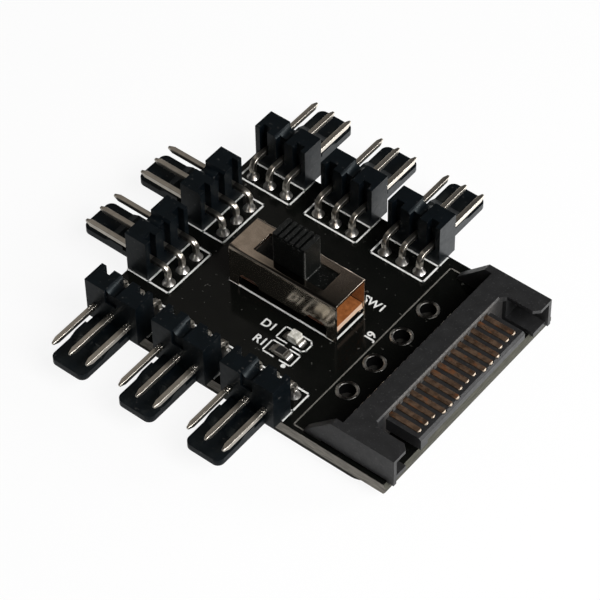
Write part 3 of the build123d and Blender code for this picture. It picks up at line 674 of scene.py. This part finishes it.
def print_board(materials, top):
    """White and faint silkscreen on the board's top face."""
    white = Ink(top)
    print_header_frames(white)
    print_switch_frame(white)
    print_chip_frame(white, centre_of("led_base"), True)
    print_chip_frame(white, centre_of("resistor_body"), False)
    white.dot(INK_DOT_PLACE, INK_DOT_RADIUS)
    add_piece("silkscreen", white.vertices, white.faces, materials["ink"])
    faint = Ink(top)
    print_inlet_frame(faint)
    add_piece("silkscreen_fine", faint.vertices, faint.faces, materials["faint_ink"])


def print_label(name, text, place_mm, turn, material, level):
    """Plain reference mark printed flat on the board, reading along the turned axis."""
    curve = bpy.data.curves.new(name, "FONT")
    curve.body = text
    curve.size = LETTER_HEIGHT
    curve.offset = LETTER_WEIGHT
    curve.extrude = INK_THICKNESS / 2
    curve.align_x = "CENTER"
    curve.align_y = "CENTER"
    source = bpy.data.objects.new(name + "_curve", curve)
    mesh = bpy.data.meshes.new_from_object(source)
    bpy.data.objects.remove(source)
    place = (place_mm[0] * MM, place_mm[1] * MM, level + INK_THICKNESS / 2)
    mesh.transform(Matrix.Translation(place) @ Matrix.Rotation(turn, 4, "Z"))
    mesh.materials.clear()
    mesh.materials.append(material)
    piece = bpy.data.objects.new(name, mesh)
    bpy.context.scene.collection.objects.link(piece)
    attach(piece, BODY)


def lathe(profile, centre, segments, wobble, vertices, faces):
    """Adds a turned surface with a slightly uneven radius to the lists."""
    base = len(vertices)
    for radius, height in profile:
        for i in range(segments):
            turn = 2 * math.pi * i / segments
            uneven = 1 + wobble[0] * math.cos(turn + wobble[1]) + wobble[2] * math.cos(2 * turn + wobble[3])
            r = radius * uneven
            vertices.append((centre.x + r * math.cos(turn), centre.y + r * math.sin(turn), height))
    for ring in range(len(profile) - 1):
        for i in range(segments):
            j = (i + 1) % segments
            a = base + ring * segments
            faces.append([a + i, a + j, a + segments + j, a + segments + i])


def at_spare_holes(name, profile, material):
    """The same turned piece at each spare hole."""
    vertices = []
    faces = []
    for place in SPARE_HOLE_PLACES:
        lathe(profile, place, RIM_SEGMENTS, (0, 0, 0, 0), vertices, faces)
    return add_piece(name, vertices, faces, material, smooth=True)


def hole_rims(materials, top):
    """Raised tinned rim and dark barrel of each spare hole."""
    middle = (RIM_OUTER + RIM_INNER) / 2
    half = (RIM_OUTER - RIM_INNER) / 2
    turns = [math.pi * i / 10 for i in range(11)]
    rim = [(middle + half * math.cos(t), top + RIM_HEIGHT * math.sin(t)) for t in turns]
    rims = at_spare_holes("hole_rims", rim + [(BARREL_RADIUS, top)], materials["rim"])
    # Painted highlight: each rim point's weight toward the glint side, where the rim is coloured bright.
    painted_glint = rims.data.attributes.new("painted_glint", "FLOAT", "POINT")
    for i, point in enumerate(painted_glint.data):
        turn = 2 * math.pi * (i % RIM_SEGMENTS) / RIM_SEGMENTS
        point.value = abs(math.cos(turn - RIM_GLINT_SIDE))
    barrel = [(BARREL_RADIUS, top), (BARREL_RADIUS, top - BOARD_THICKNESS)]
    at_spare_holes("hole_barrels", barrel, materials["barrel"])


def fillet_profile(level, height, sign):
    """Concave solder fillet from its rim on the board to the pin."""
    neck = PIN_SIZE * 0.56
    rings = []
    for i in range(FILLET_RINGS + 1):
        t = i / FILLET_RINGS
        radius = neck + (FILLET_RADIUS - neck) * (1 - t) ** 1.7
        rings.append((radius, level + sign * height * t))
    rings.append((PIN_SIZE * 0.3, level + sign * height * 1.02))
    return rings


def header_solder(material):
    """Concave solder fillets round every header pin, above and below the board."""
    chance = random.Random(7)
    low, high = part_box("circuit_board")
    vertices = []
    faces = []
    for number in range(1, HEADER_COUNT + 1):
        centre, outward, along = header_axes(number)
        for step in (-1, 0, 1):
            place = centre + along * step * PIN_PITCH
            wobble = [chance.uniform(0, most) for most in (0.07, 6.28, 0.05, 6.28)]
            tall = FILLET_HEIGHT * chance.uniform(0.85, 1.12)
            upper = fillet_profile(high[2], tall, 1)
            lower = fillet_profile(low[2], UNDER_FILLET_HEIGHT, -1)
            lathe(upper, place, FILLET_SEGMENTS, wobble, vertices, faces)
            lathe(list(reversed(lower)), place, FILLET_SEGMENTS, wobble, vertices, faces)
    piece = add_piece("header_solder", vertices, faces, material, smooth=True)
    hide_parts("fan_solder")


def chip_fillets(material, top):
    """Hollow solder fillet at both ends of the two chip parts."""
    vertices = []
    faces = []
    for node in ("led_caps", "resistor_caps"):
        low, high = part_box(node)
        centre = centre_of(node)
        half_width = (high[1] - low[1]) / 2 * CHIP_FILLET_SPREAD
        rise = (high[2] - top) * CHIP_FILLET_RISE
        for side in (-1, 1):
            end = high[0] if side > 0 else low[0]
            base = len(vertices)
            for i in range(FILLET_RINGS + 1):
                t = i / FILLET_RINGS
                x = end + side * CHIP_FILLET_LENGTH * t
                z = top + rise * (1 - t) ** 2.4
                y = half_width * (1 - 0.25 * t * t)
                vertices += [(x, centre.y + across, height) for height in (z, top) for across in (-y, y)]
            for i in range(FILLET_RINGS):
                a = base + 4 * i
                b = a + 4
                faces += [[a, b, b + 1, a + 1], [a, a + 2, b + 2, b], [a + 1, b + 1, b + 3, a + 3]]
    piece = add_piece("chip_fillets", vertices, faces, material)
    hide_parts("chip_solder")


def resistor_glaze(material):
    """Dark overglaze on the resistor's top, inside its pale ceramic border."""
    centre = centre_of("resistor_body")
    x = GLAZE_LENGTH / 2
    y = GLAZE_WIDTH / 2
    glaze = Ink(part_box("resistor_body")[1][2], GLAZE_THICKNESS)
    glaze.slab([centre + Vector(p) for p in ((-x, -y), (x, -y), (x, y), (-x, y))])
    add_piece("resistor_glaze", glaze.vertices, glaze.faces, material)


def foam_piece(material):
    """Foam pad with rounded corners, soft edges and an uneven knife-cut side."""
    chance = random.Random(3)
    low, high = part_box("foam_pad")
    radius = FOAM_CORNER_RADIUS
    edge = FOAM_EDGE
    outline = []
    corners = ((high[0], high[1]), (low[0], high[1]), (low[0], low[1]), (high[0], low[1]))
    for quarter, (cx, cy) in enumerate(corners):
        corner = Vector((cx - math.copysign(radius, cx), cy - math.copysign(radius, cy)))
        for i in range(9):
            turn = math.radians(quarter * 90 + i * 90 / 8)
            outline.append((corner, Vector((math.cos(turn), math.sin(turn)))))
    waist = ((low[2] + high[2]) / 2, 0.05 * MM)
    levels = [(low[2], edge), (low[2] + edge, 0), waist, (high[2] - edge, 0), (high[2], edge)]
    vertices = []
    for z, inset in levels:
        for corner, direction in outline:
            rough = chance.uniform(0, 0.04) * MM
            point = corner + direction * (radius - inset - rough)
            vertices.append((point.x, point.y, z))
    count = len(outline)
    faces = [[count * (len(levels) - 1) + i for i in range(count)], list(reversed(range(count)))]
    for ring in range(len(levels) - 1):
        for i in range(count):
            j = (i + 1) % count
            a = ring * count
            faces.append([a + i, a + j, a + count + j, a + count + i])
    piece = add_piece("foam_tape", vertices, faces, material)
    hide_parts("foam_pad")


# Stage, light and camera

def white_floor():
    """Pale floor that reads as white behind the object and keeps a soft trace of its shadow."""
    graph = Graph("floor")
    graph.colour(graph.ramp(graph.noise(0.02, 2), [(0.3, 0.86), (0.7, 0.9)]))
    graph.set(Roughness=0.9)
    ray = graph.add("ShaderNodeLightPath")
    place = graph.add("ShaderNodeNewGeometry")
    toward_light = graph.add("ShaderNodeVectorMath", operation="DOT_PRODUCT")
    toward_light.inputs[1].default_value = FLOOR_BRIGHT_SIDE
    graph.join(place.outputs["Position"], toward_light.inputs[0])
    level = graph.add("ShaderNodeMapRange")
    for socket, value in zip(("From Min", "From Max", "To Min", "To Max"), FLOOR_GLOW):
        level.inputs[socket].default_value = value
    graph.join(toward_light.outputs["Value"], level.inputs["Value"])
    strength = graph.add("ShaderNodeMix")
    graph.join(ray.outputs["Is Camera Ray"], strength.inputs["Factor"])
    graph.join(level.outputs["Result"], strength.inputs["A"])
    strength.inputs["B"].default_value = 1.0
    glow = graph.add("ShaderNodeEmission")
    graph.join(strength.outputs["Result"], glow.inputs["Strength"])
    bounced = graph.add("ShaderNodeMath", operation="MAXIMUM")
    graph.join(ray.outputs["Is Glossy Ray"], bounced.inputs[0])
    graph.join(ray.outputs["Is Transmission Ray"], bounced.inputs[1])
    seen = graph.add("ShaderNodeMath", operation="MAXIMUM")
    graph.join(ray.outputs["Is Camera Ray"], seen.inputs[0])
    graph.join(bounced.outputs[0], seen.inputs[1])
    share = graph.add("ShaderNodeMath", operation="MULTIPLY")
    share.inputs[1].default_value = 0.9
    graph.join(seen.outputs[0], share.inputs[0])
    mix = graph.add("ShaderNodeMixShader")
    graph.join(share.outputs[0], mix.inputs["Fac"])
    graph.join(graph.shader.outputs["BSDF"], mix.inputs[1])
    graph.join(glow.outputs["Emission"], mix.inputs[2])
    graph.join(mix.outputs["Shader"], graph.tree.nodes["Material Output"].inputs["Surface"])
    reach = FLOOR_HALF_WIDTH
    corners = [(-reach, -reach, 0), (reach, -reach, 0), (reach, reach, 0), (-reach, reach, 0)]
    mesh = bpy.data.meshes.new("floor")
    mesh.from_pydata(corners, [], [[0, 1, 2, 3]])
    mesh.materials.append(graph.material)
    floor = bpy.data.objects.new("floor", mesh)
    floor.location.z = -FLOOR_DROP
    bpy.context.scene.collection.objects.link(floor)


def soft_light(name, place_mm, size_mm, power, colour=(1, 1, 1)):
    """Square soft box aimed at the middle of the board."""
    lamp = bpy.data.lights.new(name, "AREA")
    lamp.energy = power
    lamp.size = size_mm * MM
    lamp.color = colour
    box = bpy.data.objects.new(name, lamp)
    box.location = Vector(place_mm) * MM
    box.rotation_euler = (-box.location).to_track_quat("-Z", "Y").to_euler()
    bpy.context.scene.collection.objects.link(box)
    return box


def pale_horizon():
    """Room that is pale round the horizon, most on its bright side, and dark overhead."""
    world = bpy.data.worlds.new("room")
    world.use_nodes = True
    tree = world.node_tree
    direction = tree.nodes.new("ShaderNodeTexCoord")
    parts = tree.nodes.new("ShaderNodeSeparateXYZ")
    shade = tree.nodes.new("ShaderNodeValToRGB")
    elements = shade.color_ramp.elements
    elements.new(0.5)
    for element, (position, value) in zip(elements, ((0.16, 1.0), (0.36, 0.1), (1.0, 0.07))):
        element.position = position
        element.color = (value, value, value, 1)
    tree.links.new(direction.outputs["Generated"], parts.inputs["Vector"])
    tree.links.new(parts.outputs["Z"], shade.inputs["Fac"])
    tree.links.new(shade.outputs["Color"], tree.nodes["Background"].inputs["Color"])
    toward_light = tree.nodes.new("ShaderNodeVectorMath")
    toward_light.operation = "DOT_PRODUCT"
    toward_light.inputs[1].default_value = ROOM_BRIGHT_SIDE
    tree.links.new(direction.outputs["Generated"], toward_light.inputs[0])
    level = tree.nodes.new("ShaderNodeMapRange")
    for socket, value in zip(("From Min", "From Max", "To Min", "To Max"), ROOM_GLOW):
        level.inputs[socket].default_value = value
    tree.links.new(toward_light.outputs["Value"], level.inputs["Value"])
    tree.links.new(level.outputs["Result"], tree.nodes["Background"].inputs["Strength"])
    bpy.context.scene.world = world


def light_room():
    """Pale horizon, a key soft box at the inlet end, a low one behind it, a dim panel over the headers."""
    pale_horizon()
    soft_light("key", (374, -52, 359), 300, 3.4)
    soft_light("rim", (326, 298, 182), 160, 0.8)
    panel = soft_light("panel", (-378, 140, 400), 400, 0.13, (1.0, 0.93, 0.85))
    panel.rotation_euler = (0, 0, math.radians(-56.5))


def aim_camera():
    """Camera solved on the photograph."""
    camera = bpy.data.cameras.new("camera")
    camera.lens = CAMERA_LENS
    camera.sensor_width = CAMERA_SENSOR
    camera.clip_start = 0.01
    view = bpy.data.objects.new("camera", camera)
    turn = Matrix.Rotation(CAMERA_AZIMUTH, 4, "Z") @ Matrix.Rotation(math.pi / 2 - CAMERA_ELEVATION, 4, "X")
    view.matrix_world = Matrix.Translation(CAMERA_PLACE) @ turn @ Matrix.Rotation(CAMERA_ROLL, 4, "Z")
    bpy.context.scene.collection.objects.link(view)
    bpy.context.scene.camera = view


def build_scene():
    """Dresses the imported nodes, adds the scene's own pieces and sets light and camera."""
    materials = make_materials()
    dress_nodes(materials)
    soften_nodes()
    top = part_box("circuit_board")[1][2]
    ink = materials["ink"]
    print_board(materials, top)
    print_label("mark_led", "D1", (-3.0, -5.45), 0, ink, top)
    print_label("mark_resistor", "R1", (-2.39, -7.85), 0, ink, top)
    print_label("mark_switch", "SW1", (4.62, 4.52), 0, ink, top)
    print_label("mark_inlet", "J9", (7.32, 0.44), math.pi / 2, ink, top)
    hole_rims(materials, top)
    header_solder(materials["solder"])
    chip_fillets(materials["solder"], top)
    resistor_glaze(materials["glaze"])
    foam_piece(materials["foam"])
    white_floor()
    light_room()
    aim_camera()
    bpy.context.scene.view_settings.view_transform = "Standard"


build_scene()
